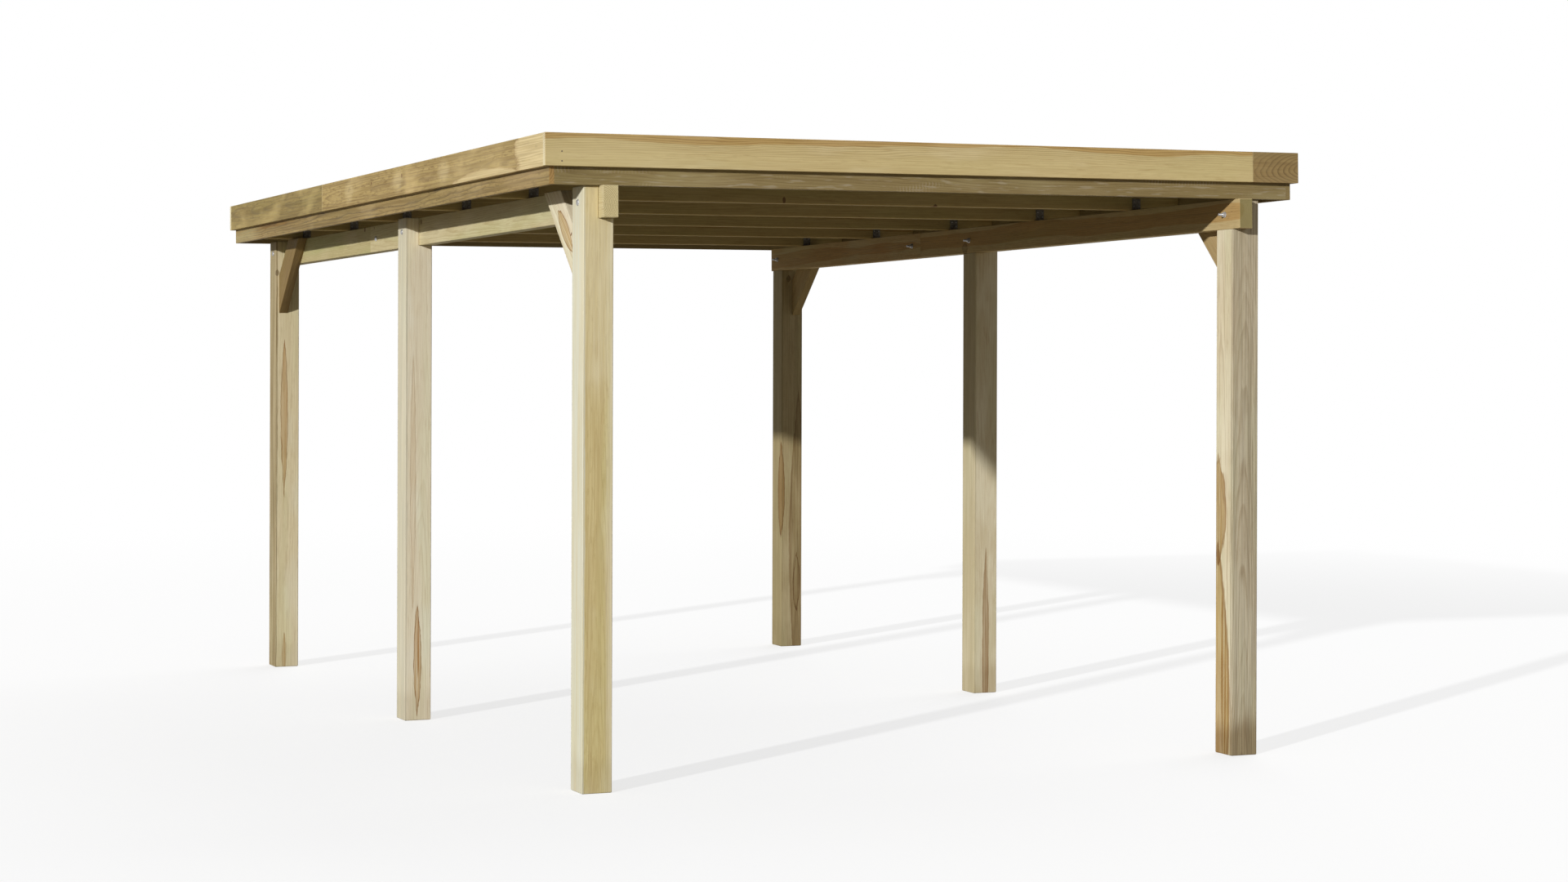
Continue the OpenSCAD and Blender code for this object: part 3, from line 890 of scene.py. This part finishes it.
def board_look(node, kind):
    """Stock look with a pith of the board's own, and what the photograph shows of the board."""
    dice = random.Random("pith " + node)
    if kind == "post":
        across = POST_PITH
        depth = dice.uniform(-POST_PITH, POST_PITH)
    else:
        across = BOARD_PITH
        depth = dice.choice((-1, 1)) * dice.uniform(*BOARD_PITH_DEPTH)
    pith = (dice.uniform(-across, across), depth)
    lean = tuple(dice.uniform(-reach, reach) for reach in PITH_LEAN)
    return {"pith": pith, "lean": lean, **PLAIN, **STOCK[kind], **BOARDS.get(node, {})}


def dress_timber():
    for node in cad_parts:
        kind, place, *_ = node.split("_")
        if kind in STOCK:
            grain, width = board_axes(kind, place)
            dress(node, timber_material(node, grain, width, board_look(node, kind)))
            soften(node, EDGES[kind])


def dress_metal():
    coated = painted_steel()
    # Bracket steel, also used for the fascia nails: its dark brown is partly the steel's own dark finish,
    # partly painted shade matched to the shaded rafters under the roof.
    dark = plated_steel("bracket_steel", bright=(0.15, 0.125, 0.09), dull=(0.10, 0.082, 0.058),
                        metallic=0.3, roughness=0.6)
    bright = plated_steel("bolt_steel", bright=(0.50, 0.505, 0.51), dull=(0.30, 0.29, 0.28),
                          metallic=0.4, roughness=0.42)
    # Screw steel, also used for the roof screws: darkened partly as painted shade, for the bracket screws
    # in the shade under the roof.
    dull = plated_steel("screw_steel", bright=(0.24, 0.22, 0.19), dull=(0.15, 0.135, 0.11),
                        metallic=0.5, roughness=0.55)
    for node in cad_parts:
        if node.startswith("roof_sheet"):
            dress(node, coated)
        elif node.startswith("brackets"):
            dress(node, dark)
            soften(node, BRACKET_EDGE)
    add_bolts(bright)
    add_bracket_screws(dull)
    add_fascia_nails(dark)
    add_roof_screws(dull)


# Camera, light and floor


def make_camera():
    data = bpy.data.cameras.new("camera")
    camera = bpy.data.objects.new("camera", data)
    bpy.context.scene.collection.objects.link(camera)
    camera.location = CAMERA_PLACE
    camera.rotation_euler = (math.pi / 2 + CAMERA_PITCH, -CAMERA_ROLL, -CAMERA_YAW)
    data.sensor_width = CAMERA_SENSOR
    data.lens = CAMERA_LENS
    data.shift_x, data.shift_y = CAMERA_SHIFT
    data.clip_end = CAMERA_REACH
    bpy.context.scene.camera = camera


def make_lamp(name, source, strength, angle):
    """A sun lamp that shines from a direction."""
    data = bpy.data.lights.new(name, "SUN")
    data.energy = strength
    data.angle = angle
    lamp = bpy.data.objects.new(name, data)
    bpy.context.scene.collection.objects.link(lamp)
    lamp.rotation_euler = Vector(source).to_track_quat("Z", "Y").to_euler()


def seen_directly(graph):
    """1 for camera, glossy and transmission rays."""
    ray = graph.add("ShaderNodeLightPath").outputs
    seen = graph.math("MAXIMUM", ray["Is Camera Ray"], ray["Is Glossy Ray"])
    return graph.math("MAXIMUM", seen, ray["Is Transmission Ray"])


def make_world():
    """Soft even light, seen as white."""
    world = bpy.data.worlds.new("studio")
    world.use_nodes = True
    world.node_tree.nodes.clear()
    bpy.context.scene.world = world
    graph = Graph(world.node_tree)
    soft = graph.add("ShaderNodeBackground", {"Color": (1, 1, 1, 1), "Strength": AMBIENT})
    white = graph.add("ShaderNodeBackground", {"Color": (1, 1, 1, 1), "Strength": 1.0})
    mix = graph.add("ShaderNodeMixShader", {0: seen_directly(graph),
                                            1: soft.outputs[0], 2: white.outputs[0]})
    graph.add("ShaderNodeOutputWorld", {"Surface": mix.outputs[0]})


def floor_material():
    """Pale floor that keeps the shadow near the carport and runs out to white."""
    material = bpy.data.materials.new("pale_floor")
    material.use_nodes = True
    material.node_tree.nodes.clear()
    graph = Graph(material.node_tree)
    world = graph.add("ShaderNodeTexCoord").outputs["Object"]
    away = graph.fade(graph.vector("LENGTH", world), *FLOOR_FADE)
    seen = seen_directly(graph)
    matt = graph.add("ShaderNodeBsdfDiffuse", {"Color": graph.mix(seen, FLOOR_BOUNCE, FLOOR_SEEN)})
    lift = graph.add("ShaderNodeEmission", {"Strength": graph.math("MULTIPLY", seen, FLOOR_LIFT)})
    near = graph.add("ShaderNodeAddShader", {0: matt.outputs[0], 1: lift.outputs[0]})
    white = graph.add("ShaderNodeEmission", {"Strength": 1.0})
    mix = graph.add("ShaderNodeMixShader", {0: graph.math("MULTIPLY", seen, away),
                                            1: near.outputs[0], 2: white.outputs[0]})
    graph.add("ShaderNodeOutputMaterial", {"Surface": mix.outputs[0]})
    return material


def make_floor():
    mesh = bpy.data.meshes.new("floor")
    corners = ((-1, -1), (1, -1), (1, 1), (-1, 1))
    mesh.from_pydata([(x * FLOOR_HALF, y * FLOOR_HALF, 0) for x, y in corners], [], [(0, 1, 2, 3)])
    mesh.materials.append(floor_material())
    floor = bpy.data.objects.new("floor", mesh)
    bpy.context.scene.collection.objects.link(floor)


dress_timber()
dress_metal()
make_camera()
make_lamp("key", KEY_FROM, KEY_STRENGTH, KEY_ANGLE)
make_lamp("fill", FILL_FROM, FILL_STRENGTH, FILL_ANGLE)
make_world()
make_floor()
bpy.context.scene.view_settings.view_transform = "Standard"
